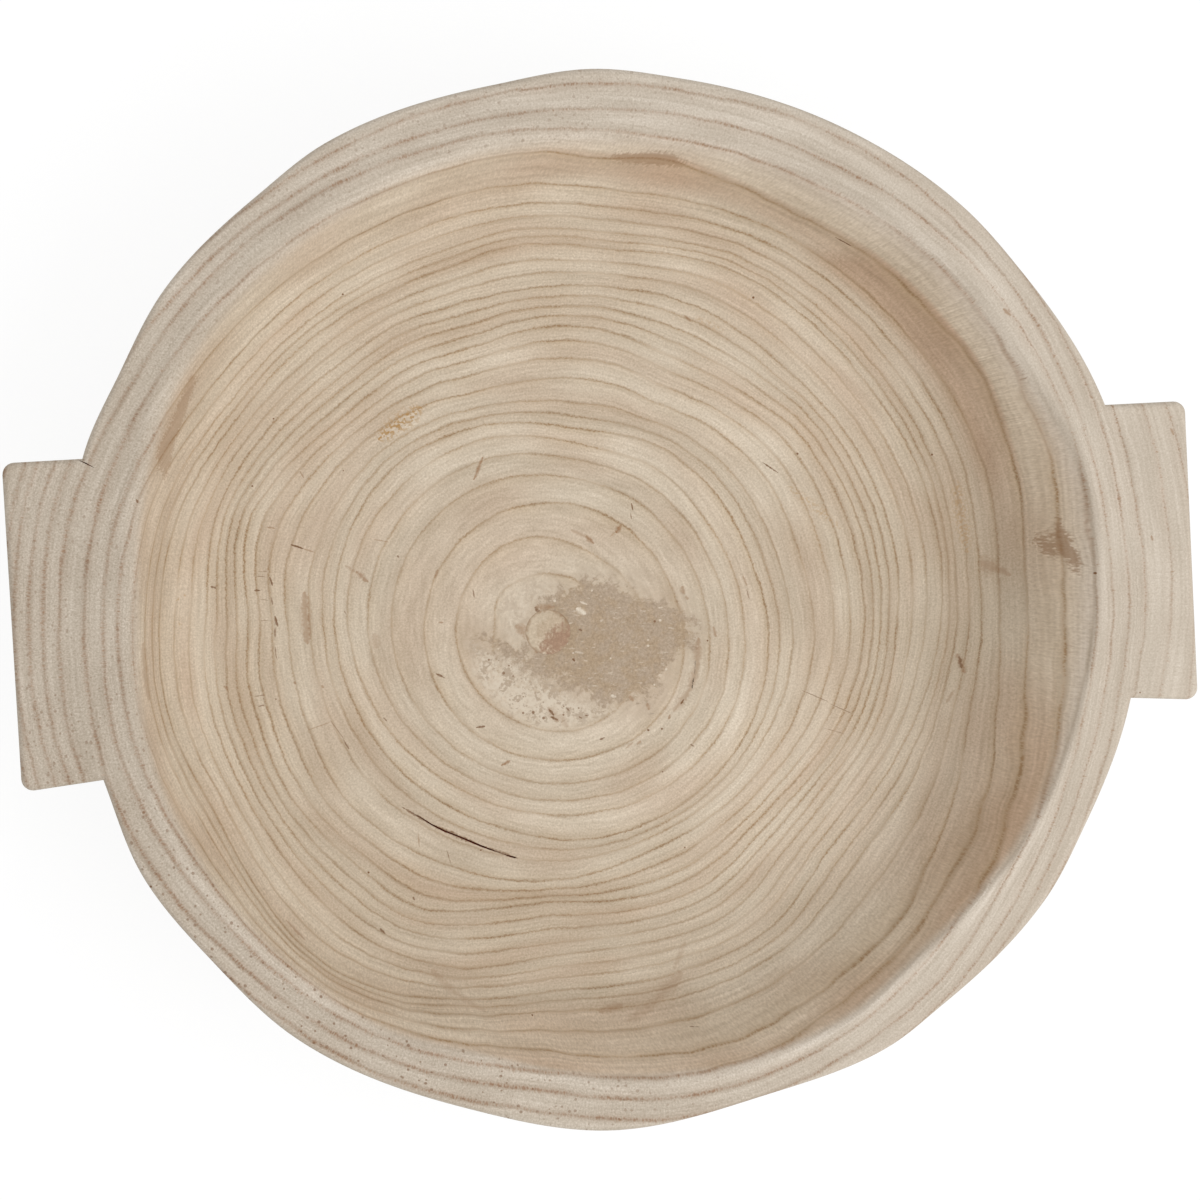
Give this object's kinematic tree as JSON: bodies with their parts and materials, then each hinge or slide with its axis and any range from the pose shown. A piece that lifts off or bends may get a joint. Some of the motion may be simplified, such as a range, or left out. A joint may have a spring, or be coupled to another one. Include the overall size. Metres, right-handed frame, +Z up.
{
  "type": "dough bowl",
  "caption": "Shallow round dough bowl carved from a slice of tree trunk, with a broad flat rim, side lug handles, concentric growth rings and a plugged, filled pith.",
  "frame": {"origin": "middle of the flat base, under the middle of the outline with its handles", "axes": "+X along the handles, towards the shorter one; +Y towards the back; +Z up"},
  "size_m": [0.4601, 0.4066, 0.09],
  "materials": {
    "carved_wood": "bare pale end-grain wood, sanded by hand, matt",
    "plug_wood": "bare end-grain wood, slightly redder and darker, matt",
    "wood_filler": "grey-brown filler of wood dust and binder, sanded flush, matt"
  },
  "bodies": {
    "root": {"bowl_body": "carved_wood", "pith_plug": "plug_wood", "floor_filler": "wood_filler", "base_filler": "wood_filler"}
  },
  "joints": []
}
